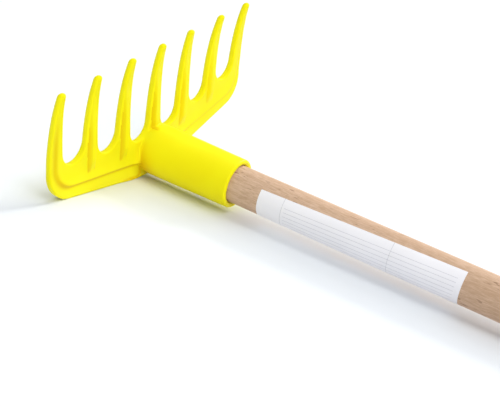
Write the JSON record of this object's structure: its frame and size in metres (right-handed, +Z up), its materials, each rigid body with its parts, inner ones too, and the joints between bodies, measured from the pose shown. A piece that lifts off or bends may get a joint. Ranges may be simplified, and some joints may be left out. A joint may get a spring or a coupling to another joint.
{
  "type": "garden rake",
  "caption": "Child's garden rake: moulded plastic head with curved tines and a socket, on a round beech handle with a plain paper label.",
  "frame": {"origin": "on the ground, below the middle of the tool's box as it lies", "axes": "+Y along the handle towards the head, +Z up from the ground, +X to the head's raised arm; the tool lies on the edge of the head's left arm and the handle's far end, rolled 13.4 degrees about its handle"},
  "size_m": [0.1856, 0.6972, 0.1018],
  "materials": {
    "yellow_plastic": "injection-moulded, satin gloss",
    "beech": "turned and sanded, bare",
    "zinc_plated_steel": "zinc plated",
    "paper": "thin self-adhesive sheet, bare"
  },
  "bodies": {
    "root": {"rake_head": "yellow_plastic", "handle": "beech", "fixing_screw": "zinc_plated_steel", "label": "paper"}
  },
  "joints": []
}
